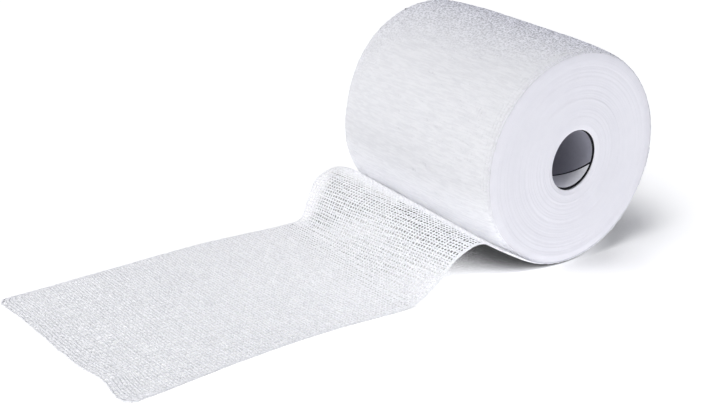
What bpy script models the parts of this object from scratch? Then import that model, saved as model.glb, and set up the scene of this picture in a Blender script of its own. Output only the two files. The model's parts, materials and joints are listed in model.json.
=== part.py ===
"""A roll of cohesive gauze bandage on its paper core, with its loose end laid out on the surface.

Metres, +Z up. The roll's axis runs along X and the loose end runs towards -Y. The origin is the
middle of the flat spot that the roll rests on, under the roll's axis.
"""

import math

import bmesh
import bpy
from mathutils import Vector

# Driving dimensions
ROLL_WIDTH = 0.100            # the bandage's width, along X
ROLL_RADIUS = 0.0469          # to the outside of the last turn
CORE_INNER_RADIUS = 0.0125
CORE_WALL = 0.0012
CORE_INSET = 0.0006           # how far the core stays inside each end of the roll
CLOTH = 0.001                 # thickness of the loose end's sheet
GAP = 0.0003                  # between pieces

FLAT_SPOT = 0.011             # width of the flat that the roll's weight presses, along Y
NEAR_DROP = 0.0014            # how much less the radius is at the +X end, where the turns are looser
FAR_DROP = 0.0012             # and at the other end, which sags: there it is full round the bottom
FAR_DENT = 0.0011             # and a little less again in a shallow dent on the -Y side
END_TAPER = 0.028             # length over which it falls
END_ROUND = 0.0012            # rounding of the last turns' selvedges

# Where the strip leaves the roll at its two ends, from the bottom up
LEAVE_FAR, LEAVE_NEAR = math.radians(45), math.radians(33)
LEAD_IN = math.radians(6)     # how far back along the roll the leaving strip takes its direction from

ROUND_STEPS = 144             # points around the roll
CORE_STEPS = 96               # points around the core
WIDTH_STEPS = 14              # cells across the loose end, narrower towards its edges
LENGTH_STEPS = 66             # cells along the loose end

# The winding's own depth: one cloth and its gap from the last turn to the turn under it
TURN_STEP = CLOTH + GAP
# The roll's axis is a little lower than its radius, because the flat spot is pressed in
AXIS_HEIGHT = ROLL_RADIUS - FLAT_SPOT ** 2 / (8 * ROLL_RADIUS)
BORE_RADIUS = CORE_INNER_RADIUS + CORE_WALL + GAP

# The loose end after it has left the roll, a row for each station along it. The columns are the
# place and height of its underside at the edge away from +X ("far") and at the +X edge ("near").
STATIONS = (
    # name           far_x    far_y    far_z    near_x   near_y   near_z
    ("rise",        -0.0500, -0.0385, 0.0186,  0.0500, -0.0370, 0.0155),
    ("crest",       -0.0506, -0.0482, 0.0226,  0.0495, -0.0490, 0.0213),
    ("shoulder",    -0.0514, -0.0589, 0.0198,  0.0485, -0.0590, 0.0177),
    ("fall",        -0.0522, -0.0636, 0.0104,  0.0470, -0.0668, 0.0092),
    ("foot",        -0.0530, -0.0676, 0.0011,  0.0455, -0.0765, 0.0017),
    ("touch",       -0.0535, -0.0754, 0.0000,  0.0444, -0.0870, 0.0000),
    ("first third", -0.0574, -0.1157, 0.0000,  0.0418, -0.1163, 0.0000),
    ("middle",      -0.0572, -0.1590, 0.0000,  0.0425, -0.1568, 0.0000),
    ("last",        -0.0567, -0.2000, 0.0000,  0.0457, -0.1955, 0.0000),
    ("cut",         -0.0570, -0.2100, 0.0000,  0.0462, -0.2055, 0.0000),
)
CORNER_FAR, CORNER_NEAR = 0.005, 0.006    # radii of the cut end's corners
# Where the cut end dips back from a straight line: share of the way to the +X edge, depth, width
CUT_DIPS = ((0.25, 0.0007, 0.14), (0.79, 0.0020, 0.09))


def material(name, colour, roughness):
    """A Principled material of one colour."""
    made = bpy.data.materials.new(name)
    made.use_nodes = True
    shader = made.node_tree.nodes["Principled BSDF"]
    shader.inputs["Base Color"].default_value = (*colour, 1)
    shader.inputs["Roughness"].default_value = roughness
    shader.inputs["Metallic"].default_value = 0
    return made


def add_object(name, mesh, collection, finish):
    """An object of the mesh in the collection, with its material."""
    made = bpy.data.objects.new(name, mesh)
    collection.objects.link(made)
    mesh.materials.append(finish)
    return made


def turn_radius(x, angle):
    """The last turn's outer radius at x and an angle from the bottom towards -Y: less towards the
    roll's ends, where the turns are looser."""
    taper = max(0, 1 - (ROLL_WIDTH / 2 - abs(x)) / END_TAPER) ** 2
    if x > 0:
        return ROLL_RADIUS - NEAR_DROP * taper
    angle = (angle + math.pi) % math.tau - math.pi
    up = min(max((abs(angle) - math.radians(60)) / math.radians(40), 0), 1)
    dent = FAR_DENT * math.exp(-((angle - math.radians(105)) / math.radians(25)) ** 2)
    return ROLL_RADIUS - (FAR_DROP * up ** 2 * (3 - 2 * up) + dent) * taper


def rounded_in(edge_distance, corner):
    """How far a round corner's outline stands back at a distance from the edge beside it."""
    inside = max(corner - edge_distance, 0)
    return corner - math.sqrt(corner ** 2 - inside ** 2)


def leave_angle(x):
    """Where the strip leaves the roll at x, as an angle from the bottom towards -Y."""
    return LEAVE_FAR + (LEAVE_NEAR - LEAVE_FAR) * min(max(x / ROLL_WIDTH + 0.5, 0), 1)


def on_roll(x, angle, radius):
    """The point of the roll at x, an angle from the bottom towards -Y, and a radius."""
    return Vector((x, -radius * math.sin(angle), AXIS_HEIGHT - radius * math.cos(angle)))


def winding_profile(x):
    """The last turn's outside at x, from the edge where the strip leaves, round the bottom and the
    back, to the turn under it just above that edge."""
    points = []
    edge_round = rounded_in(ROLL_WIDTH / 2 - abs(x), END_ROUND)
    for i in range(ROUND_STEPS + 1):
        turned = i / ROUND_STEPS
        angle = leave_angle(x) - math.tau * turned
        point = on_roll(x, angle, turn_radius(x, angle) - edge_round - TURN_STEP * turned)
        point.z = max(point.z, 0)
        points.append(point)
    return points


def wound_roll(collection, finish):
    """The wound bandage: a spiral profile lofted along the axis, with the core's bore through it."""
    half = ROLL_WIDTH / 2
    round_in = END_ROUND * (1 - math.sqrt(0.5))
    side = [-half, -half + round_in, -half + END_ROUND, -half + END_TAPER / 2, -half + END_TAPER]
    stations = side + [0] + [-x for x in reversed(side)]
    shape = bmesh.new()
    outside = [[shape.verts.new(p) for p in winding_profile(x)] for x in stations]
    bore = []
    for x in (-half, half):
        angles = [leave_angle(0) - math.tau * i / ROUND_STEPS for i in range(ROUND_STEPS)]
        bore.append([shape.verts.new(on_roll(x, angle, BORE_RADIUS)) for angle in angles])
    for here, there in zip(outside, outside[1:]):
        for i in range(ROUND_STEPS):
            shape.faces.new((here[i], here[i + 1], there[i + 1], there[i]))
        shape.faces.new((here[-1], here[0], there[0], there[-1]))      # the step under the strip
    for i in range(ROUND_STEPS):
        after = (i + 1) % ROUND_STEPS
        shape.faces.new((bore[0][after], bore[0][i], bore[1][i], bore[1][after]))
        for end, rim in ((0, outside[0]), (1, outside[-1])):
            face = (rim[i], rim[i + 1], bore[end][after], bore[end][i])
            shape.faces.new(face if end else face[::-1])
    for end, rim in ((0, outside[0]), (1, outside[-1])):
        corner = (rim[-1], rim[0], bore[end][0])
        shape.faces.new(corner if end else corner[::-1])
    bmesh.ops.recalc_face_normals(shape, faces=shape.faces)
    mesh = bpy.data.meshes.new("wound_roll")
    shape.to_mesh(mesh)
    shape.free()
    mesh.shade_smooth()
    mesh.set_sharp_from_angle(angle=math.radians(35))
    return add_object("wound_roll", mesh, collection, finish)


def smooth_path(points, share):
    """The point at a share of the way through the points, on a smooth curve through them all. The
    first and last points only set the direction in which the curve starts and ends."""
    spans = len(points) - 3
    at = min(int(share * spans), spans - 1)
    t = share * spans - at
    a, b, c, d = points[at:at + 4]
    # Each span's tangents are weighted by its length, so that uneven spans don't overshoot
    ab, bc, cd = ((q - p).length for p, q in ((a, b), (b, c), (c, d)))
    at_b = ((b - a) / ab - (c - a) / (ab + bc) + (c - b) / bc) * bc
    at_c = ((c - b) / bc - (d - b) / (bc + cd) + (d - c) / cd) * bc
    return (
        b * (2 * t ** 3 - 3 * t ** 2 + 1) + at_b * (t ** 3 - 2 * t ** 2 + t)
        + c * (3 * t ** 2 - 2 * t ** 3) + at_c * (t ** 3 - t ** 2)
    )


def cut_back(across):
    """How far the cut end stands back at a share of the way across: its dips and round corners."""
    width = STATIONS[-1][4] - STATIONS[-1][1]
    back = sum(depth * math.exp(-((across - at) / wide) ** 2) for at, depth, wide in CUT_DIPS)
    return back + rounded_in(across * width, CORNER_FAR) + rounded_in((1 - across) * width, CORNER_NEAR)


def loose_end_route(across):
    """The points that the strip's underside passes through, at a share of the way from its far edge
    to its near one: round the roll, off it, over the hump and down to the cut end."""
    x = ROLL_WIDTH * (across - 0.5)
    radius = turn_radius(x, leave_angle(x))
    start = leave_angle(x) + GAP / radius
    route = [on_roll(x, start - LEAD_IN, radius), on_roll(x, start, radius)]
    for station in STATIONS:
        far, near = Vector(station[1:4]), Vector(station[4:7])
        route.append(far.lerp(near, across))
    route[-1] += (route[-2] - route[-1]).normalized() * cut_back(across)
    route.append(route[-1] * 2 - route[-2])
    return route


def loose_end(collection, finish):
    """The loose end: a grid laid along its route, with its corners cut round, thickened upwards."""
    bpy.ops.mesh.primitive_grid_add(x_subdivisions=WIDTH_STEPS, y_subdivisions=LENGTH_STEPS, size=1)
    made = bpy.context.object
    made.name = made.data.name = "loose_end"
    for point in made.data.vertices:
        across, along = 0.5 + math.sin(math.pi * point.co.x) / 2, 0.5 - point.co.y
        place = smooth_path(loose_end_route(across), along)
        place.z = max(place.z, 0)
        point.co = place
    thicken = made.modifiers.new("Thickness", "SOLIDIFY")
    thicken.thickness = CLOTH
    thicken.offset = 1
    made.data.materials.append(finish)
    for old in made.users_collection:
        old.objects.unlink(made)
    collection.objects.link(made)
    return made


def core(collection, finish):
    """The paper core: a wall's section turned round the axis, a little short of the roll's ends."""
    outer, half = CORE_INNER_RADIUS + CORE_WALL, ROLL_WIDTH / 2 - CORE_INSET
    section = [(outer, half), (outer, -half), (CORE_INNER_RADIUS, -half), (CORE_INNER_RADIUS, half)]
    mesh = bpy.data.meshes.new("core")
    mesh.from_pydata([(r, 0, z) for r, z in section], [(i, (i + 1) % 4) for i in range(4)], [])
    made = add_object("core", mesh, collection, finish)
    turn = made.modifiers.new("Turn", "SCREW")
    turn.steps = turn.render_steps = CORE_STEPS
    turn.use_merge_vertices = True
    turn.merge_threshold = 0.0001
    made.rotation_euler.y = math.pi / 2
    made.location.z = AXIS_HEIGHT
    return made


for old in list(bpy.data.objects):
    bpy.data.objects.remove(old, do_unlink=True)
parts = bpy.data.collections.new("bandage_roll")
bpy.context.scene.collection.children.link(parts)

gauze = material("gauze", (0.86, 0.86, 0.88), 0.9)
paper = material("core_paper", (0.42, 0.42, 0.43), 0.85)
wound_roll(parts, gauze)
loose_end(parts, gauze)
core(parts, paper)
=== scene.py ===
import json
import math

import bmesh
import bpy
import numpy as np
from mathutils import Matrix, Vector

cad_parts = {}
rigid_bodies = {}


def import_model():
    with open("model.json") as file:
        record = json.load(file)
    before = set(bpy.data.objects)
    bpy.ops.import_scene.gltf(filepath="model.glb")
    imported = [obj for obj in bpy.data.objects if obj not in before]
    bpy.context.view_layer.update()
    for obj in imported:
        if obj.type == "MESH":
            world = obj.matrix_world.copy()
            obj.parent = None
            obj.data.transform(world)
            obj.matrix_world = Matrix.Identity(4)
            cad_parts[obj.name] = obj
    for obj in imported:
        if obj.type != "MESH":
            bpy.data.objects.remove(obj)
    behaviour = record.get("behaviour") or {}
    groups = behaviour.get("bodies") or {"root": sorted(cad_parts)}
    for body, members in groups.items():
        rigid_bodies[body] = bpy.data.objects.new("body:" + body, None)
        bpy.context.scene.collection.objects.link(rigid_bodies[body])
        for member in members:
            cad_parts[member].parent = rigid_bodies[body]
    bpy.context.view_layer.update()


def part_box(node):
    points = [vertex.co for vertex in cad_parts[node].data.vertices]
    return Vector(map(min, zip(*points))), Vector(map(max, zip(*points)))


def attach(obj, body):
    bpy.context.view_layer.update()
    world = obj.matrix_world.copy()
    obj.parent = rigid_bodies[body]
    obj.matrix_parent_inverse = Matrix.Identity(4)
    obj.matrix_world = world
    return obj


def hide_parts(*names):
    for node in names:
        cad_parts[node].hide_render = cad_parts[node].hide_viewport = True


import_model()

# ------------------------------------------------------------------ the room
# A white light table in a white studio. It glows from below, and close to the roll painted shade
# darkens the floor's colour, which only the viewer sees. A broad light stands high in front, a weaker one by
# the viewer, a cooler one right.

for thing in bpy.data.objects:
    thing.select_set(False)

bpy.ops.mesh.primitive_plane_add(size=8)
floor = bpy.context.object
floor.name = "floor"


def set_ramp(node, *stops):
    """Sets a colour ramp's places and colours, given from its low end to its high one."""
    ends = node.color_ramp.elements
    for end, (at, colour) in ((ends[0], stops[0]), (ends[1], stops[-1])):
        end.position = at
        end.color = (*colour, 1)
    for at, colour in stops[1:-1]:
        node.color_ramp.elements.new(at).color = (*colour, 1)


def grey(value):
    """The colour of a grey."""
    return (value, value, value)


def set_range(node, **values):
    """Sets a Map Range node's limits: From_Min, From_Max, To_Min or To_Max."""
    for name, value in values.items():
        node.inputs[name.replace("_", " ")].default_value = value


floor_paint = bpy.data.materials.new("floor_paint")
floor_paint.use_nodes = True
nodes, links = floor_paint.node_tree.nodes, floor_paint.node_tree.links
floor_shader = nodes["Principled BSDF"]
floor_shader.inputs["Roughness"].default_value = 1
floor_shader.inputs["Specular IOR Level"].default_value = 0
path = nodes.new("ShaderNodeLightPath")
# Painted contact shade from ambient occlusion: close under the roll and the hump the floor's colour is dark,
# and where the flat strip lies in full glow the painted shade under it is lighter
near = nodes.new("ShaderNodeAmbientOcclusion")
near.samples = 32
near.inputs["Distance"].default_value = 0.1
painted_contact_shade = nodes.new("ShaderNodeValToRGB")
set_ramp(
    painted_contact_shade, (0.05, grey(0.03)), (0.10, grey(0.12)), (0.14, grey(0.32)), (0.19, grey(0.66)), (0.27, grey(1)),
)
place = nodes.new("ShaderNodeTexCoord")
split = nodes.new("ShaderNodeSeparateXYZ")
links.new(place.outputs["Object"], split.inputs["Vector"])
# Beside the far end, where the hump stands open, a painted shade is laid by place, inside three limits:
# a slanting line past the hump, the roll's far end, and the -Y side of its axis
past_hump = nodes.new("ShaderNodeMath")
past_hump.operation = "ADD"
links.new(split.outputs["X"], past_hump.inputs[0])
links.new(split.outputs["Y"], past_hump.inputs[1])
limits = []
for value, start, end in (
    (past_hump.outputs["Value"], -0.121, -0.111),
    (split.outputs["X"], -0.020, -0.050),
    (split.outputs["Y"], -0.010, -0.024),
):
    limit = nodes.new("ShaderNodeMapRange")
    limit.interpolation_type = "SMOOTHSTEP"
    set_range(limit, From_Min=start, From_Max=end)
    links.new(value, limit.inputs["Value"])
    limits.append(limit.outputs["Result"])
inside = limits[0]
for limit in limits[1:]:
    joined = nodes.new("ShaderNodeMath")
    joined.operation = "MULTIPLY"
    links.new(inside, joined.inputs[0])
    links.new(limit, joined.inputs[1])
    inside = joined.outputs["Value"]
painted_patch_shade = nodes.new("ShaderNodeMapRange")
set_range(painted_patch_shade, To_Min=1.0, To_Max=0.28)
links.new(inside, painted_patch_shade.inputs["Value"])
# Behind the roll a painted shadow from ambient occlusion, broader and softer
painted_shadow_behind = nodes.new("ShaderNodeValToRGB")
set_ramp(
    painted_shadow_behind, (0.54, grey(0.44)), (0.61, grey(0.57)), (0.65, grey(0.70)), (0.75, grey(0.84)), (0.82, grey(1)),
)
back_side = nodes.new("ShaderNodeMapRange")
back_side.interpolation_type = "SMOOTHSTEP"
set_range(back_side, From_Min=-0.030, From_Max=0.030)
deeper = nodes.new("ShaderNodeMix")
deeper.inputs[2].default_value = 1
# Under the flat strip, painted shade from the same ambient occlusion, no darker than half
painted_shade_under_strip = nodes.new("ShaderNodeMapRange")
set_range(painted_shade_under_strip, From_Max=0.8, To_Min=0.5)
front_shade = nodes.new("ShaderNodeMath")
front_shade.operation = "MULTIPLY"
whole_shade = nodes.new("ShaderNodeMath")
whole_shade.operation = "MULTIPLY"
strip_side = nodes.new("ShaderNodeMapRange")
strip_side.interpolation_type = "SMOOTHSTEP"
set_range(strip_side, From_Min=-0.090, From_Max=-0.058)
white = nodes.new("ShaderNodeMix")
white.data_type = "RGBA"
seen = nodes.new("ShaderNodeMix")
seen.data_type = "RGBA"
seen.blend_type = "MULTIPLY"
seen.inputs[0].default_value = 1
seen.inputs[7].default_value = (1.275, 1.275, 1.265, 1)
# The viewer sees the white with its painted shade, and everything else an even white that glows
surface = nodes.new("ShaderNodeMix")
surface.data_type = "RGBA"
surface.inputs[6].default_value = (0.85, 0.85, 0.85, 1)
glow = nodes.new("ShaderNodeMath")
glow.operation = "MULTIPLY_ADD"
TABLE_GLOW = 0.73
glow.inputs[1].default_value = -TABLE_GLOW
glow.inputs[2].default_value = TABLE_GLOW
floor_shader.inputs["Emission Color"].default_value = (1, 1, 1, 1)
links.new(near.outputs["AO"], painted_contact_shade.inputs["Fac"])
links.new(near.outputs["AO"], painted_shadow_behind.inputs["Fac"])
links.new(split.outputs["Y"], back_side.inputs["Value"])
links.new(back_side.outputs["Result"], deeper.inputs[0])
links.new(painted_shadow_behind.outputs["Color"], deeper.inputs[3])
links.new(painted_contact_shade.outputs["Color"], front_shade.inputs[0])
links.new(painted_patch_shade.outputs["Result"], front_shade.inputs[1])
links.new(front_shade.outputs["Value"], whole_shade.inputs[0])
links.new(deeper.outputs[0], whole_shade.inputs[1])
links.new(near.outputs["AO"], painted_shade_under_strip.inputs["Value"])
links.new(painted_shade_under_strip.outputs["Result"], white.inputs[6])
links.new(split.outputs["Y"], strip_side.inputs["Value"])
links.new(strip_side.outputs["Result"], white.inputs[0])
links.new(whole_shade.outputs["Value"], white.inputs[7])
links.new(white.outputs[2], seen.inputs[6])
links.new(seen.outputs[2], surface.inputs[7])
links.new(path.outputs["Is Camera Ray"], surface.inputs[0])
links.new(surface.outputs[2], floor_shader.inputs["Base Color"])
links.new(path.outputs["Is Camera Ray"], glow.inputs[0])
links.new(glow.outputs["Value"], floor_shader.inputs["Emission Strength"])
floor.data.materials.append(floor_paint)

camera_data = bpy.data.cameras.new("camera")
camera = bpy.data.objects.new("camera", camera_data)
bpy.context.scene.collection.objects.link(camera)
camera_data.lens = 72.35
camera.location = (0.4498, -0.3943, 0.2602)
look_at = Vector((0.0344, -0.0964, 0.0466))
camera.rotation_euler = (look_at - camera.location).to_track_quat("-Z", "Y").to_euler()
bpy.context.scene.camera = camera

world = bpy.data.worlds.new("studio")
bpy.context.scene.world = world
world.use_nodes = True
background = world.node_tree.nodes["Background"]
background.inputs["Color"].default_value = (0.98, 0.985, 1, 1)
seen_directly = world.node_tree.nodes.new("ShaderNodeLightPath")
pale = world.node_tree.nodes.new("ShaderNodeMapRange")      # white beyond the floor, faint as a light
set_range(pale, To_Min=0.02, To_Max=1.1)
world.node_tree.links.new(seen_directly.outputs["Is Camera Ray"], pale.inputs["Value"])
world.node_tree.links.new(pale.outputs["Result"], background.inputs["Strength"])

for name, toward, strength, spread, colour in (
    ("front light", (0, -0.46, 0.888), 2.34, 45, (0.985, 0.985, 1)),
    ("viewer light", (0.36, -0.85, 0.38), 0.62, 45, (0.985, 0.985, 1)),
    ("right light", (0.66, 0.56, 0.50), 0.66, 45, (0.86, 0.88, 1)),
):
    lamp = bpy.data.lights.new(name, "SUN")
    lamp.energy = strength
    lamp.angle = math.radians(spread)
    lamp.color = colour
    holder = bpy.data.objects.new(name, lamp)
    holder.rotation_euler = Vector(toward).to_track_quat("Z", "Y").to_euler()
    bpy.context.scene.collection.objects.link(holder)

bpy.context.scene.view_settings.view_transform = "Standard"

# ------------------------------------------------------------------ the paper core
# A short tube of grey board, wound from two plies on a slant, so that the inner ply's joint runs
# round the bore as a fine dark helix. Its ends stop short of the gauze's, which hides them. Inside,
# half of each turn is painted white and half grey, which at the +X end is painted light low in the
# bore and painted shade high in it; the cut ends are painted near-black, as painted shade.

core_low, core_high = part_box("core")
_, roll_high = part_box("wound_roll")
half_width = roll_high[0]
axis_height = (core_low[2] + core_high[2]) / 2
CORE_INNER, CORE_OUTER = 0.0125, 0.0137
CORE_HALF = 0.0472            # its ends are 2.8 mm inside the roll's
PLY_PITCH = 0.081             # the joint's advance in one turn
JOINT_AT = math.radians(-13)  # where the joint meets the +X end, from +Y upwards
JOINT_WIDTH, JOINT_DEPTH = 0.00055, 0.0005
JOINT_INSET = 0.0010          # from the roll's end to the place that JOINT_AT is given for

# Stations along the helix, as shares of its pitch: close together over the joint
joint = JOINT_WIDTH / PLY_PITCH
profile = [
    (-joint, 0), (-joint / 2, JOINT_DEPTH), (joint / 2, JOINT_DEPTH), (joint, 0),
    (0.1, 0), (0.3, 0), (0.5, 0), (0.7, 0), (0.9, 0),
]
AROUND = 144
rings = [(turn + at, depth) for turn in range(-3, 3) for at, depth in profile]
board = bmesh.new()
inner_rows, outer_rows = [], []
for at, depth in rings:
    inner_row, outer_row = [], []
    for j in range(AROUND):
        angle = JOINT_AT + math.tau * (j - AROUND / 2) / AROUND
        x = half_width - JOINT_INSET + PLY_PITCH * (at + (j - AROUND / 2) / AROUND)
        for row, radius in ((inner_row, CORE_INNER + depth), (outer_row, CORE_OUTER)):
            row.append(board.verts.new(
                (x, radius * math.cos(angle), axis_height + radius * math.sin(angle))
            ))
    inner_rows.append(inner_row)
    outer_rows.append(outer_row)
# A face's value: 0 in the joint and, as painted shade, on the cut ends; along the helix 1 for half of each
# turn and 0.5 for the other half, painted light and painted shade in the bore
joint_and_painted_shading_of = board.faces.layers.float.new("joint_and_painted_shading")      # 0 in the joint and on the cut, 0.5, 1
per_turn = len(profile)
for rows in (inner_rows, outer_rows):
    for k in range(len(rows) - 1):
        for j in range(AROUND):
            # one turn further on, the helix has moved by one pitch
            if j + 1 < AROUND:
                face = board.faces.new((rows[k][j], rows[k][j + 1], rows[k + 1][j + 1], rows[k + 1][j]))
            elif k + 1 + per_turn < len(rows):
                face = board.faces.new(
                    (rows[k][j], rows[k + per_turn][0], rows[k + 1 + per_turn][0], rows[k + 1][j])
                )
            else:
                continue
            step = k % per_turn
            face[joint_and_painted_shading_of] = 0.0 if step < 3 else 1.0 if step < 6 else 0.5
for side in (-1, 1):
    bmesh.ops.bisect_plane(
        board, geom=board.verts[:] + board.edges[:] + board.faces[:], dist=1e-6,
        plane_co=(side * CORE_HALF, 0, 0), plane_no=(side, 0, 0), clear_outer=True,
    )
    end = [e for e in board.edges if e.is_boundary and e.verts[0].co.x * side > CORE_HALF - 1e-4]
    bmesh.ops.triangle_fill(board, use_beauty=True, edges=end, normal=(side, 0, 0))
bmesh.ops.recalc_face_normals(board, faces=board.faces)
core_mesh = bpy.data.meshes.new("paper_core")
board.to_mesh(core_mesh)
board.free()
core_mesh.shade_smooth()
core_mesh.set_sharp_from_angle(angle=math.radians(40))
core = bpy.data.objects.new("paper_core", core_mesh)
bpy.context.scene.collection.objects.link(core)

board_paint = bpy.data.materials.new("grey_board")
board_paint.use_nodes = True
nodes, links = board_paint.node_tree.nodes, board_paint.node_tree.links
board_shader = nodes["Principled BSDF"]
board_shader.inputs["Roughness"].default_value = 0.7
board_shader.inputs["Specular IOR Level"].default_value = 0.3
place = nodes.new("ShaderNodeTexCoord")
flecks = nodes.new("ShaderNodeTexNoise")
flecks.inputs["Scale"].default_value = 900
flecks.inputs["Detail"].default_value = 4
links.new(place.outputs["Object"], flecks.inputs["Vector"])
ply = nodes.new("ShaderNodeAttribute")
ply.attribute_name = "joint_and_painted_shading"
# The near-black is the joint and the painted shade on the cut ends; the grey and the white are painted shade
# and painted light in the bore
tone = nodes.new("ShaderNodeValToRGB")
tone.color_ramp.interpolation = "CONSTANT"
set_ramp(tone, (0, (0.02, 0.02, 0.025)), (0.25, (0.38, 0.38, 0.44)), (0.75, (0.96, 0.96, 1.0)))
links.new(ply.outputs["Fac"], tone.inputs["Fac"])
fleck_tone = nodes.new("ShaderNodeMix")
fleck_tone.data_type = "RGBA"
fleck_tone.blend_type = "MULTIPLY"
fleck_tone.inputs[0].default_value = 0.15
links.new(tone.outputs["Color"], fleck_tone.inputs[6])
links.new(flecks.outputs["Fac"], fleck_tone.inputs[7])
links.new(fleck_tone.outputs[2], board_shader.inputs["Base Color"])
grain = nodes.new("ShaderNodeBump")
grain.inputs["Strength"].default_value = 0.3
grain.inputs["Distance"].default_value = 0.00005
links.new(flecks.outputs["Fac"], grain.inputs["Height"])
links.new(grain.outputs["Normal"], board_shader.inputs["Normal"])
core_mesh.materials.append(board_paint)
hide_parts("core")
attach(core, "root")

# ------------------------------------------------------------------ the gauze's surface
# Cotton and elastic yarn, white with a cool cast, matt and fluffy. The fibres show as a fine grain,
# and the cohesive coating leaves it uneven. The turn edges let a little light through.


def fibre_group():
    """A node group: a fine fibre grain (colour and height) from object coordinates."""
    group = bpy.data.node_groups.new("fibres", "ShaderNodeTree")
    group.interface.new_socket("Vector", in_out="INPUT", socket_type="NodeSocketVector")
    group.interface.new_socket("Colour", in_out="OUTPUT", socket_type="NodeSocketColor")
    group.interface.new_socket("Height", in_out="OUTPUT", socket_type="NodeSocketFloat")
    entry, leave = group.nodes.new("NodeGroupInput"), group.nodes.new("NodeGroupOutput")
    fine = group.nodes.new("ShaderNodeTexNoise")
    fine.inputs["Scale"].default_value = 1700
    fine.inputs["Detail"].default_value = 4
    broad = group.nodes.new("ShaderNodeTexNoise")
    broad.inputs["Scale"].default_value = 210
    broad.inputs["Detail"].default_value = 2
    sum_up = group.nodes.new("ShaderNodeMath")
    sum_up.operation = "MULTIPLY_ADD"
    sum_up.inputs[1].default_value = 0.5
    colours = group.nodes.new("ShaderNodeValToRGB")
    set_ramp(colours, (0.35, (0.955, 0.957, 0.975)), (0.95, (0.985, 0.987, 1)))
    group.links.new(entry.outputs["Vector"], fine.inputs["Vector"])
    group.links.new(entry.outputs["Vector"], broad.inputs["Vector"])
    group.links.new(fine.outputs["Fac"], sum_up.inputs[0])
    group.links.new(broad.outputs["Fac"], sum_up.inputs[2])
    group.links.new(sum_up.outputs["Value"], colours.inputs["Fac"])
    group.links.new(colours.outputs["Color"], leave.inputs["Colour"])
    group.links.new(fine.outputs["Fac"], leave.inputs["Height"])
    return group


fibres = fibre_group()


def gauze_paint(name, bump, colour_and_painted_shade):
    """The gauze's material, with the fibre grain standing out by bump and a colour factor: a cool cast,
    darkened for the wound turns as painted shade.
    """
    paint = bpy.data.materials.new(name)
    paint.use_nodes = True
    nodes, links = paint.node_tree.nodes, paint.node_tree.links
    shader = nodes["Principled BSDF"]
    shader.inputs["Roughness"].default_value = 0.95
    shader.inputs["Specular IOR Level"].default_value = 0
    place = nodes.new("ShaderNodeTexCoord")
    grain = nodes.new("ShaderNodeGroup")
    grain.node_tree = fibres
    tint = nodes.new("ShaderNodeMix")
    tint.data_type = "RGBA"
    tint.blend_type = "MULTIPLY"
    tint.inputs[0].default_value = 1
    tint.inputs[7].default_value = colour_and_painted_shade
    rise = nodes.new("ShaderNodeBump")
    rise.inputs["Strength"].default_value = 0.5
    rise.inputs["Distance"].default_value = bump
    links.new(place.outputs["Object"], grain.inputs["Vector"])
    links.new(grain.outputs["Colour"], tint.inputs[6])
    links.new(tint.outputs[2], shader.inputs["Base Color"])
    links.new(grain.outputs["Height"], rise.inputs["Height"])
    links.new(rise.outputs["Normal"], shader.inputs["Normal"])
    return paint


# One gauze in three copies: the colours differ as painted light and shade, the loose end lighter, as lit
# through by the glowing table, and the last turn and the turn edges darker
yarn_paint = gauze_paint("yarn", 0.00015, (0.995, 0.995, 1, 1))
last_turn_paint = gauze_paint("last_turn_yarn", 0.0005, (0.755, 0.757, 0.767, 1))
turns_paint = gauze_paint("turn_edges", 0.00010, (0.815, 0.810, 0.845, 1))
# Near the roll's top, where it is seen edge on, the last turn gets painted shade and painted highlights as
# specks, for the shaded gaps in its weave
nodes, links = last_turn_paint.node_tree.nodes, last_turn_paint.node_tree.links
edge_on = nodes.new("ShaderNodeLayerWeight")
edge_on_share = nodes.new("ShaderNodeMapRange")
set_range(edge_on_share, From_Min=0.40, From_Max=0.90)
heights = nodes.new("ShaderNodeSeparateXYZ")
on_top = nodes.new("ShaderNodeMapRange")
on_top.interpolation_type = "SMOOTHSTEP"
set_range(on_top, From_Min=0.055, From_Max=0.080)
painted_top_shade_share = nodes.new("ShaderNodeMath")
painted_top_shade_share.operation = "MULTIPLY"
# Low down, painted light: the colour is made lighter towards the floor, lifting the shade in the groove by
# the hump, as gauze that a light table shines through
painted_low_light = nodes.new("ShaderNodeMapRange")
painted_low_light.interpolation_type = "SMOOTHSTEP"
set_range(painted_low_light, From_Min=0.046, From_Max=0.018, To_Min=1.0, To_Max=1.33)
# The crosswise yarns show as faint streaks along X
streak_course = nodes.new("ShaderNodeMapping")
streak_course.inputs["Scale"].default_value = (0.14, 1, 1)
streaks = nodes.new("ShaderNodeTexNoise")
streaks.inputs["Scale"].default_value = 1100
streaks.inputs["Detail"].default_value = 1
streaks.inputs["Distortion"].default_value = 0.4
streak_tone = nodes.new("ShaderNodeValToRGB")
set_ramp(streak_tone, (0.36, (0.955, 0.955, 0.96)), (0.62, (1.02, 1.02, 1.02)))
streaky = nodes.new("ShaderNodeMix")
streaky.data_type = "RGBA"
streaky.blend_type = "MULTIPLY"
streaky.inputs[0].default_value = 1
lit = nodes.new("ShaderNodeMix")
lit.data_type = "RGBA"
lit.blend_type = "MULTIPLY"
lit.inputs[0].default_value = 1
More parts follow.
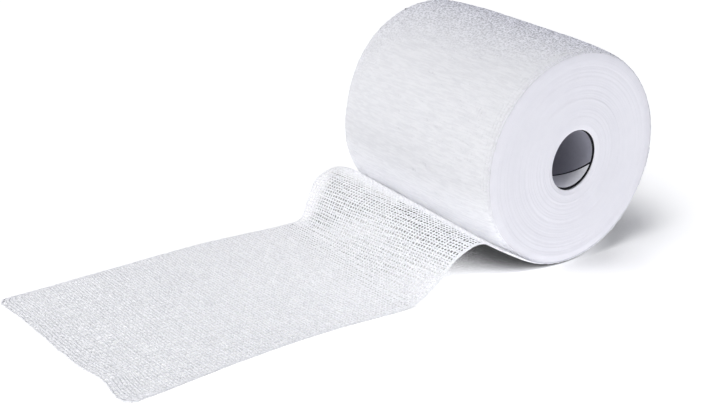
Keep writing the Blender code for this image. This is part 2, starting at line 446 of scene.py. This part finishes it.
# A noise of painted shade and painted highlights
painted_gap_noise = nodes.new("ShaderNodeTexNoise")
painted_gap_noise.inputs["Scale"].default_value = 1300
painted_gap_noise.inputs["Detail"].default_value = 1
painted_gap_tones = nodes.new("ShaderNodeValToRGB")
set_ramp(painted_gap_tones, (0.38, (0.40, 0.40, 0.45)), (0.58, (1.38, 1.38, 1.44)))
painted_gap_shade = nodes.new("ShaderNodeMix")
painted_gap_shade.data_type = "RGBA"
painted_gap_shade.blend_type = "MULTIPLY"
place = nodes["Texture Coordinate"]
links.new(edge_on.outputs["Facing"], edge_on_share.inputs["Value"])
links.new(place.outputs["Object"], heights.inputs["Vector"])
links.new(heights.outputs["Z"], on_top.inputs["Value"])
links.new(heights.outputs["Z"], painted_low_light.inputs["Value"])
links.new(edge_on_share.outputs["Result"], painted_top_shade_share.inputs[0])
links.new(on_top.outputs["Result"], painted_top_shade_share.inputs[1])
links.new(painted_top_shade_share.outputs["Value"], painted_gap_shade.inputs[0])
links.new(place.outputs["Object"], painted_gap_noise.inputs["Vector"])
links.new(painted_gap_noise.outputs["Fac"], painted_gap_tones.inputs["Fac"])
links.new(nodes["Mix"].outputs[2], painted_gap_shade.inputs[6])
links.new(painted_gap_tones.outputs["Color"], painted_gap_shade.inputs[7])
links.new(place.outputs["Object"], streak_course.inputs["Vector"])
links.new(streak_course.outputs["Vector"], streaks.inputs["Vector"])
links.new(streaks.outputs["Fac"], streak_tone.inputs["Fac"])
links.new(painted_gap_shade.outputs[2], streaky.inputs[6])
links.new(streak_tone.outputs["Color"], streaky.inputs[7])
links.new(streaky.outputs[2], lit.inputs[6])
links.new(painted_low_light.outputs["Result"], lit.inputs[7])
links.new(lit.outputs[2], nodes["Principled BSDF"].inputs["Base Color"])
# The slack weave of the loose end shows a speckle of light and shade
nodes, links = yarn_paint.node_tree.nodes, yarn_paint.node_tree.links
speckle = nodes.new("ShaderNodeTexNoise")
speckle.inputs["Scale"].default_value = 1300
speckle.inputs["Detail"].default_value = 1
speckle_tone = nodes.new("ShaderNodeValToRGB")
set_ramp(speckle_tone, (0.36, (0.87, 0.87, 0.88)), (0.56, (1.02, 1.02, 1.02)))
speckled = nodes.new("ShaderNodeMix")
speckled.data_type = "RGBA"
speckled.blend_type = "MULTIPLY"
speckled.inputs[0].default_value = 1
links.new(nodes["Texture Coordinate"].outputs["Object"], speckle.inputs["Vector"])
links.new(speckle.outputs["Fac"], speckle_tone.inputs["Fac"])
links.new(nodes["Mix"].outputs[2], speckled.inputs[6])
links.new(speckle_tone.outputs["Color"], speckled.inputs[7])
links.new(speckled.outputs[2], nodes["Principled BSDF"].inputs["Base Color"])
# The turn edges let light a little way in
soft_edges = turns_paint.node_tree.nodes["Principled BSDF"]
soft_edges.inputs["Subsurface Weight"].default_value = 0.3
soft_edges.inputs["Subsurface Radius"].default_value = (1, 1, 1)
soft_edges.inputs["Subsurface Scale"].default_value = 0.0008

# ------------------------------------------------------------------ the wound turns
# Some fifty turns of gauze. At the roll's ends their selvedges lie edge to edge in a soft spiral,
# uneven from turn to turn. The last turn is laid on top of them as yarns, in the next section.

ROLL_RADIUS = 0.0469          # to the outside of the last turn
NEAR_DROP = 0.0014            # how much less it is at the +X end, where the turns are looser
FAR_DROP = 0.0012             # and at the other end, which sags: there it is full round the bottom
FAR_DENT = 0.0011             # and a little less again in a shallow dent on the -Y side
END_TAPER = 0.028             # length over which it falls
TURN_PITCH = 0.00065          # thickness of a turn
TURNS = 50
UNDER = 0.00060               # from the outside of the last turn to the turns under it
LIFT = 0.0009                 # how much fuller than its solid the yarns make the roll
LIFT_RUN = 0.012              # length of the strip over which this rises from the leaving line
SELVEDGE_IN = 0.0012          # how far the last turn's selvedges lie inside the roll's ends
NEAR_ROUND, FAR_ROUND = 0.0009, 0.0002     # and how much the roll's shoulders are rounded
SHOULDER = 0.0045             # over this width
SIDE_END = 0.0486             # where the side under the last turn ends, short of the roll's ends
MOUTH = 0.0122                # mean radius of the gauze's opening over the core
MOUTH_OVAL, MOUTH_OFFSET = 0.00075, 0.0004     # how oval and how far off centre it is
SEAT = 0.0140                 # radius at which the gauze sits on the core
EDGE_IN, RIM_OUT = 0.0005, 0.0007     # from the last turn's outside, and the mouth, to the face's rims
FACE_IN = 0.00035             # how far the end face lies inside the roll's end
LOWEST = 0.0006               # the lowest that the end face comes
WANDER = 0.00007              # how much the turns' selvedges wander
STEP, PROUD = 0.00005, 0.00018     # how far each selvedge stands out, and how much more some do
PUFF = 0.00025                # how much the end face bulges and hollows
ROUNDING, ROUND_FROM, ROUND_OVER = 0.0009, 0.86, 0.14     # its outer rounding, in shares of the radius
DIP, DIP_OVER = 0.0004, 0.05  # its dip at the mouth, and over which share
LEAD_IN = math.radians(6)     # how far back along the roll the strip takes its direction from
LEAVE_FAR, LEAVE_NEAR = math.radians(45), math.radians(33)
AROUND = 300
chance = np.random.default_rng(7)


def turn_radius(x, angle):
    """The last turn's outer radius at x and an angle from the bottom towards -Y."""
    taper = np.maximum(0, 1 - (half_width - np.abs(x)) / END_TAPER) ** 2
    angle = (angle + math.pi) % math.tau - math.pi
    up = np.clip((np.abs(angle) - math.radians(60)) / math.radians(40), 0, 1)
    dent = FAR_DENT * np.exp(-((angle - math.radians(105)) / math.radians(25)) ** 2)
    far = FAR_DROP * up ** 2 * (3 - 2 * up) + dent
    return ROLL_RADIUS - np.where(x > 0, NEAR_DROP, far) * taper


def shoulder(x):
    """How much the last turn is drawn in at x, close to an end."""
    edge = np.maximum(0, 1 - (half_width - np.abs(x)) / SHOULDER) ** 2
    return np.where(x > 0, NEAR_ROUND, FAR_ROUND) * edge


def leave_angle(x):
    """Where the strip leaves the roll at x, as an angle from the bottom towards -Y."""
    return LEAVE_FAR + (LEAVE_NEAR - LEAVE_FAR) * np.clip(x / (2 * half_width) + 0.5, 0, 1)


def on_roll(x, angle, radius):
    """The point of the roll at x, an angle from the bottom towards -Y, and a radius."""
    return np.stack(
        [x + 0 * angle, -radius * np.sin(angle), axis_height - radius * np.cos(angle)], -1
    )


def mouth(angle):
    """The radius of the gauze's opening over the core: slightly oval, from the bottom towards -Y."""
    upright = -math.pi / 2 - angle
    oval = MOUTH_OVAL * np.cos(2 * (upright - math.radians(67)))
    return MOUTH + oval + MOUTH_OFFSET * np.cos(upright + math.radians(30))


turned = np.arange(AROUND + 1) / AROUND
points, faces = [], []


def add_row(rows, row):
    """Adds a row of points and returns their numbers."""
    start = sum(len(r) for r in points)
    points.append(row)
    rows.append(np.arange(start, start + len(row)))


# The side, under the last turn: a loft along X of one turn of the spiral
side_rows = []
for x in np.linspace(-SIDE_END, SIDE_END, 41):
    angle = leave_angle(x) - math.tau * turned
    radius = turn_radius(x, angle) - shoulder(x) + LIFT - UNDER - TURN_PITCH * turned
    row = on_roll(x, angle, radius)
    row[:, 2] = np.maximum(row[:, 2], UNDER)
    add_row(side_rows, row)
for here, there in zip(side_rows, side_rows[1:]):
    for j in range(AROUND):
        faces.append((here[j], here[j + 1], there[j + 1], there[j]))
    faces.append((here[-1], here[0], there[0], there[-1]))

bore_rows = []
for side in (-1, 1):
    x_end = side * half_width
    angle = leave_angle(x_end) - math.tau * turned[:-1]
    edge = turn_radius(x_end, angle) - shoulder(x_end) + LIFT - EDGE_IN
    rim = mouth(angle) + RIM_OUT
    count = 2 * TURNS
    # How far each turn's selvedge stands out wanders slowly along the strip
    wander = chance.normal(0, 1, TURNS * 9 + 30)
    wander = np.convolve(wander, np.hanning(9) / 3.2, "same")
    proud = np.maximum(chance.normal(0, 1, TURNS * 5 + 30) - 1.2, 0)
    proud = np.convolve(proud, np.hanning(5) / 2, "same")
    face_rows = []
    for i in range(count):
        at = i / 2 + turned[:-1]
        share = np.clip(1 - at / (TURNS + 0.5), 0, 1)
        radius = rim + (edge - rim) * share
        out = WANDER * np.interp(at * 9, np.arange(len(wander)), wander)
        if i % 2 == 0:
            out += STEP + PROUD * np.interp(at * 5, np.arange(len(proud)), proud)
        puff = PUFF * np.sin(2 * angle + 0.8 + 3 * share) * np.sin(math.pi * share)
        rounding = ROUNDING * np.clip((share - ROUND_FROM) / ROUND_OVER, 0, 1) ** 2
        dip = DIP * np.clip(1 - share / DIP_OVER, 0, 1)
        x = x_end - side * (FACE_IN + rounding + dip - puff - out)
        row = on_roll(x, angle, radius)
        row[:, 2] = np.maximum(row[:, 2], LOWEST)
        add_row(face_rows, row)
    for here, there in zip(face_rows, face_rows[1:]):
        for j in range(AROUND - 1):
            faces.append((here[j], here[j + 1], there[j + 1], there[j]))
    for i in range(count - 3):
        # one turn further on, the spiral has moved in by two rows
        faces.append(
            (face_rows[i][-1], face_rows[i + 2][0], face_rows[i + 3][0], face_rows[i + 1][-1])
        )
    outer = list(face_rows[0]) + [face_rows[2][0]]
    rim_row = side_rows[0] if side < 0 else side_rows[-1]
    for j in range(AROUND):
        faces.append((rim_row[j], rim_row[j + 1], outer[j + 1], outer[j]))
    faces.append((rim_row[-1], rim_row[0], outer[0], face_rows[1][0], outer[-1]))
    # The first turns bulge over the end of the core and then fall back to its outside
    lip = []
    for x, radius in (
        (x_end - side * 0.00075, mouth(angle) + 0.0002),
        (x_end - side * 0.0010, mouth(angle)),
        (x_end - side * 0.0012, mouth(angle) + 0.0002),
        (x_end - side * 0.0013, SEAT + 0 * angle),
        (x_end - side * 0.0040, SEAT + 0 * angle),
    ):
        add_row(lip, on_roll(x, angle, radius))
    for here, there in zip([face_rows[-1]] + lip, lip):
        for j in range(AROUND - 1 if here is face_rows[-1] else AROUND):
            after = (j + 1) % AROUND
            faces.append((here[j], here[after], there[after], there[j]))
    faces.append((
        face_rows[-3][-1], face_rows[-2][-1], face_rows[-1][-1], lip[0][-1], lip[0][0], face_rows[-1][0],
    ))
    bore_rows.append(lip[-1])
# leave_angle differs between the ends, so the bore is joined on a slight twist
for j in range(AROUND):
    after = (j + 1) % AROUND
    faces.append((bore_rows[0][j], bore_rows[0][after], bore_rows[1][after], bore_rows[1][j]))

turns_mesh = bpy.data.meshes.new("wound_turns")
turns_mesh.from_pydata(np.concatenate(points), [], [[int(v) for v in f] for f in faces])
solid = bmesh.new()
solid.from_mesh(turns_mesh)
bmesh.ops.recalc_face_normals(solid, faces=solid.faces)
solid.to_mesh(turns_mesh)
solid.free()
turns_mesh.shade_smooth()
wound = bpy.data.objects.new("wound_turns", turns_mesh)
bpy.context.scene.collection.objects.link(wound)
turns_mesh.materials.append(turns_paint)
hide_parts("wound_roll")
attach(wound, "root")

# ------------------------------------------------------------------ the strip's course
# The bandage is one strip. Its last turn comes over the top of the roll, down the back and under
# it, leaves it low on the -Y side, rises in a hump and runs flat on the surface to its cut end.

# The underside of the loose end at its two edges, a row for each station along it
STATIONS = (
    # name           far_x    far_y    far_z    near_x   near_y   near_z
    ("rise",        -0.0500, -0.0385, 0.0186,  0.0500, -0.0370, 0.0155),
    ("crest",       -0.0506, -0.0482, 0.0226,  0.0495, -0.0490, 0.0213),
    ("shoulder",    -0.0514, -0.0589, 0.0198,  0.0485, -0.0590, 0.0177),
    ("fall",        -0.0522, -0.0636, 0.0104,  0.0470, -0.0668, 0.0092),
    ("foot",        -0.0530, -0.0676, 0.0011,  0.0455, -0.0765, 0.0017),
    ("touch",       -0.0535, -0.0754, 0.0000,  0.0444, -0.0870, 0.0000),
    ("first third", -0.0574, -0.1157, 0.0000,  0.0418, -0.1163, 0.0000),
    ("middle",      -0.0572, -0.1590, 0.0000,  0.0425, -0.1568, 0.0000),
    ("last",        -0.0567, -0.2000, 0.0000,  0.0457, -0.1955, 0.0000),
    ("cut",         -0.0570, -0.2100, 0.0000,  0.0462, -0.2055, 0.0000),
)
CORNER_FAR, CORNER_NEAR = 0.005, 0.006
# Where the cut end dips back from a straight line: share of the way across, depth, width
CUT_DIPS = ((0.25, 0.0007, 0.14), (0.79, 0.0020, 0.09))


def smooth_path(points, samples):
    """A dense line through all but the first and last points, which only lead it in and out."""
    line = []
    for a, b, c, d in zip(points, points[1:], points[2:], points[3:]):
        ab, bc, cd = (np.linalg.norm(q - p) for p, q in ((a, b), (b, c), (c, d)))
        at_b = ((b - a) / ab - (c - a) / (ab + bc) + (c - b) / bc) * bc
        at_c = ((c - b) / bc - (d - b) / (bc + cd) + (d - c) / cd) * bc
        for t in np.arange(samples) / samples:
            line.append(
                b * (2 * t ** 3 - 3 * t ** 2 + 1) + at_b * (t ** 3 - 2 * t ** 2 + t)
                + c * (3 * t ** 2 - 2 * t ** 3) + at_c * (t ** 3 - t ** 2)
            )
    line.append(points[-2])
    return np.array(line)


def loose_line(across):
    """The underside of the loose end at a share of the way from its far edge to its near one."""
    x = half_width * (2 * across - 1)
    start = leave_angle(x)
    radius = turn_radius(x, start)
    route = [on_roll(x, start - LEAD_IN, radius), on_roll(x, start, radius)]
    for station in STATIONS:
        far, near = np.array(station[1:4]), np.array(station[4:7])
        route.append(far + (near - far) * across)
    route.append(2 * route[-1] - route[-2])
    line = smooth_path(route, 40)
    line[:, 2] = np.maximum(line[:, 2], 0)
    return line


def strip_places(across, along):
    """Places on the strip's outer side and directions towards its inner side, at one share of the
    way across and many distances along it: 0 where it leaves the roll, below 0 on the roll."""
    line = loose_line(across)
    step = np.linalg.norm(np.diff(line, axis=0), axis=1)
    reach = np.concatenate([[0], np.cumsum(step)])
    inward = np.cross(np.gradient(line, axis=0), (1, 0, 0))
    inward /= np.linalg.norm(inward, axis=1)[:, None]
    loose = np.stack([np.interp(along, reach, line[:, i]) for i in range(3)], -1)
    loose += np.maximum(along - reach[-1], 0)[:, None] * (line[-1] - line[-2]) / step[-1]
    loose_in = np.stack([np.interp(along, reach, inward[:, i]) for i in range(3)], -1)
    x = half_width * (2 * across - 1)
    angle = leave_angle(x) + along / ROLL_RADIUS
    on = np.clip(-along / LIFT_RUN, 0, 1)
    radius = turn_radius(x, angle) + (LIFT - shoulder(x)) * on
    wound = on_roll(x, angle, radius + TURN_PITCH * along / (math.tau * ROLL_RADIUS))
    wound[:, 0] *= 1 - SELVEDGE_IN / half_width * on
    wound[:, 2] = np.maximum(wound[:, 2], 0)
    wound_in = np.stack([0 * angle, np.sin(angle), np.cos(angle)], -1)
    on_the_roll = (along < 0)[:, None]
    return np.where(on_the_roll, wound, loose), np.where(on_the_roll, wound_in, loose_in), reach[-1]


# ------------------------------------------------------------------ the loose end
# Open plain weave of fine lengthwise yarns, some of them elastic, and soft crosswise ones, drawn
# together in pairs as the elastic relaxes. Three lengthwise yarns lie close at each selvedge, and
# the weave is close at the roll, opens over the hump and is closer again at the cut.

WEFT_PITCH = 0.00133          # between crosswise yarns, where the strip lies slack
PAIRING = 0.00010             # how far the yarns of a pair move towards each other
HALF_CLOTH = 0.00034          # from the strip's outer side to its middle
WEFT_WIDTH, WEFT_DEPTH = 0.00087, 0.00024
WARP_WIDTH, WARP_DEPTH = 0.00085, 0.00020
HELD_FLAT, HELD_REACH = 0.6, 0.0055            # how much wider the yarns are at the roll, and how far
OPEN_SHARE, OPEN_AT, OPEN_REACH = 0.12, 0.030, 0.022     # how much narrower on the hump, where, how far
CUT_SHARE, CUT_ROWS = 0.35, 9                  # how much wider at the cut, over how many yarns
CUT_RUN = 0.022               # length over which the rows give way to the cut's shape
CUT_CLEAR = 0.0004            # from the last crosswise yarn to the cut
SIDEWAYS = 0.00025            # how much the lengthwise yarns wander sideways
FLUFF = 0.22                  # how much the crosswise yarns' width varies
AT_SELVEDGE, AT_TURN = 0.75, 0.5     # how narrow the crosswise yarn is at the selvedge, and turning back
EDGE_WARP = 0.9               # width of the lengthwise yarns at the selvedges, as a share

# Shares of the way across of the lengthwise yarns, and outside them the crosswise yarn's turns
warps = np.concatenate([
    [0.0030, 0.0088, 0.0146], np.linspace(0.0290, 0.9710, 58), [0.9854, 0.9912, 0.9970],
])
columns = np.concatenate([[0.0022], warps, [0.9978]])


class Yarns:
    """Yarns laid one by one into one mesh."""

    def __init__(self):
        self.points, self.faces, self.count = [], [], 0

    def lay(self, line, up, width, depth, sides):
        """A closed tube along the line, as wide as given across the cloth and as deep along up."""
        ahead = np.gradient(line, axis=0)
        ahead /= np.linalg.norm(ahead, axis=1)[:, None]
        side = np.cross(ahead, up)
        side /= np.linalg.norm(side, axis=1)[:, None]
        rise = np.cross(side, ahead)
        turn = math.tau * (np.arange(sides) + 0.5) / sides
        wide = (np.asarray(width) * np.ones(len(line)) / 2)[:, None, None]
        deep = (np.asarray(depth) * np.ones(len(line)) / 2)[:, None, None]
        rings = (
            line[:, None] + side[:, None] * np.cos(turn)[None, :, None] * wide
            + rise[:, None] * np.sin(turn)[None, :, None] * deep
        )
        self.points.append(rings.reshape(-1, 3))
        here = self.count + sides * np.arange(len(line) - 1)[:, None] + np.arange(sides)[None]
        beside = self.count + sides * np.arange(len(line) - 1)[:, None] + (np.arange(sides) + 1) % sides
        self.faces += np.stack([here, beside, beside + sides, here + sides], -1).reshape(-1, 4).tolist()
        last = self.count + sides * (len(line) - 1)
        self.faces.append([self.count + i for i in reversed(range(sides))])
        self.faces.append([last + i for i in range(sides)])
        self.count += sides * len(line)

    def made(self, name, paint):
        """The object of all the yarns laid."""
        mesh = bpy.data.meshes.new(name)
        mesh.from_pydata(np.concatenate(self.points), [], self.faces)
        mesh.shade_smooth()
        mesh.materials.append(paint)
        made = bpy.data.objects.new(name, mesh)
        bpy.context.scene.collection.objects.link(made)
        return made


def row_places(count, pitch):
    """Distances of crosswise yarns along the strip: paired, and a little uneven."""
    drift = np.cumsum(chance.normal(0, 0.04, count)) * pitch
    drift -= np.linspace(drift[0], drift[-1], count)
    return pitch * np.arange(count) + PAIRING * (-1.0) ** np.arange(count) + drift


def weave(crosswise, lengthwise, along, weft_width, warp_width, crimp, ridge_height, uneven, sides):
    """Lays the crosswise and lengthwise yarns, for rows at the given distances along each column.

    crimp is how far the yarns go over and under each other, ridge_height how far every second
    crosswise yarn stands higher, uneven how much the crosswise yarns' thickness varies.
    """
    count = len(along)
    places, inward = np.empty((count, len(columns), 3)), np.empty((count, len(columns), 3))
    for j, across in enumerate(columns):
        places[:, j], inward[:, j], _ = strip_places(across, along[:, j])
    sideways = chance.normal(0, 1, places.shape[:2])
    for _ in range(4):
        sideways[1:-1] = (sideways[:-2] + sideways[1:-1] + sideways[2:]) / 3
    places[..., 0] += SIDEWAYS * sideways * np.minimum(1, 8 * np.minimum(columns, 1 - columns))
    k, j = np.meshgrid(np.arange(count), np.arange(len(columns)), indexing="ij")
    over = (-1.0) ** (k + j)
    ridge = ridge_height * (-1.0) ** k
    weft = places + inward * (HALF_CLOTH + ridge + crimp * over)[..., None]
    warp = places + inward * (HALF_CLOTH + 0.6 * ridge - crimp * over)[..., None]
    # One crosswise yarn runs to and fro, with a small turn at each selvedge
    line, up, narrow = [], [], []
    for k in range(count):
        order = slice(1, -1) if k % 2 == 0 else slice(-2, 0, -1)
        line.append(weft[k, order])
        up.append(inward[k, order])
        # where the strip leaves the roll, the coating still holds its fibres spread flat
        past = along[k].mean()
        spread = 1 + HELD_FLAT * math.exp(-(past / HELD_REACH) ** 2) if past > 0 else 1
        spread -= OPEN_SHARE * math.exp(-((past - OPEN_AT) / OPEN_REACH) ** 2)
        spread += CUT_SHARE * max(0, k + CUT_ROWS - count) / CUT_ROWS
        narrow.append(np.concatenate(
            [[AT_SELVEDGE], spread * np.ones(len(columns) - 4), [AT_SELVEDGE]]
        ))
        if k + 1 < count:
            edge = -1 if k % 2 == 0 else 0
            line.append((weft[k, edge] + weft[k + 1, edge])[None] / 2)
            up.append(inward[k, edge][None])
            narrow.append([AT_TURN])
    line, up, narrow = np.concatenate(line), np.concatenate(up), np.concatenate(narrow)
    fluff = np.convolve(chance.normal(0, 1, len(line)), np.ones(3) / 3, "same")
    crosswise.lay(
        line, up, weft_width * narrow * (1 + FLUFF * fluff), WEFT_DEPTH * (1 + uneven * fluff), sides
    )
    for j in range(1, len(columns) - 1):
        line, up = warp[:, j], inward[:, j]
        tail = line[-1] + (line[-1] - line[-2]) * chance.uniform(0.1, 0.35)
        line, up = np.concatenate([line, tail[None]]), np.concatenate([up, up[-1:]])
        size = 1 + 0.10 * chance.normal() + 0.12 * (-1) ** j
        size = EDGE_WARP if j < 4 or j > len(columns) - 5 else size
        size = size * (1 + 0.15 * chance.normal(0, 1, len(line)))
        lengthwise.lay(line, up, warp_width * size, WARP_DEPTH, sides)


def rounded_in(edge_distance, corner):
    """How far a round corner's outline stands back at a distance from the edge beside it."""
    inside = max(corner - max(edge_distance, 0), 0)
    return corner - math.sqrt(corner ** 2 - inside ** 2)


def cut_at(across):
    """How far along the strip its cut end is, at a share of the way across."""
    _, _, reach = strip_places(across, np.zeros(1))
    width = STATIONS[-1][4] - STATIONS[-1][1]
    back = sum(depth * math.exp(-((across - at) / wide) ** 2) for at, depth, wide in CUT_DIPS)
    back += rounded_in(across * width, CORNER_FAR) + rounded_in((1 - across) * width, CORNER_NEAR)
    return reach - back


def wavering(count, size):
    """Small sideways shifts of the crosswise yarns that change slowly along each."""
    waver = chance.normal(0, 1, (count, len(columns)))
    jitter = 0.25 * waver
    for _ in range(3):
        waver = (np.roll(waver, 1, 1) + waver + np.roll(waver, -1, 1)) / 3
    return size * (waver + jitter)


cut = np.array([cut_at(across) for across in columns]) - CUT_CLEAR
rows = row_places(int(cut.max() / WEFT_PITCH) + 1, WEFT_PITCH)
# The last rows give way to the cut, so that the last of them runs along it
bend = np.clip((rows - rows[-1] + CUT_RUN) / CUT_RUN, 0, 1)
bend = bend ** 2 * (3 - 2 * bend)
along = rows[:, None] + (cut - rows[-1])[None] * bend[:, None] + wavering(len(rows), 0.00024)
yarns = Yarns()
weave(yarns, yarns, along, WEFT_WIDTH, WARP_WIDTH, 0.00010, 0.00004, 0.12, 5)
loose_gauze = yarns.made("loose_gauze", yarn_paint)
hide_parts("loose_end")
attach(loose_gauze, "root")

# ------------------------------------------------------------------ the last turn
# The same weave under tension, wound on and held by its coating. The crosswise yarns are further
# apart, and pressed so wide and flat that they overlap and close the holes.

WOUND_WEFT_PITCH = 0.00150
WOUND_WEFT_WIDTH, WOUND_WARP_WIDTH = 0.00310, 0.00165
full_turn = math.tau * ROLL_RADIUS
rows = -row_places(int(full_turn / WOUND_WEFT_PITCH) + 4, WOUND_WEFT_PITCH)[::-1] - WOUND_WEFT_PITCH
along = rows[:, None] + wavering(len(rows), 0.00030)
crosswise, lengthwise = Yarns(), Yarns()
weave(crosswise, lengthwise, along, WOUND_WEFT_WIDTH, WOUND_WARP_WIDTH, 0.00004, 0.00001, 0.8, 4)
last_weft = crosswise.made("last_turn_crosswise_yarns", last_turn_paint)
last_warp = lengthwise.made("last_turn_lengthwise_yarns", last_turn_paint)
for piece in (last_weft, last_warp):
    piece.data.set_sharp_from_angle(angle=math.radians(50))
    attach(piece, "root")
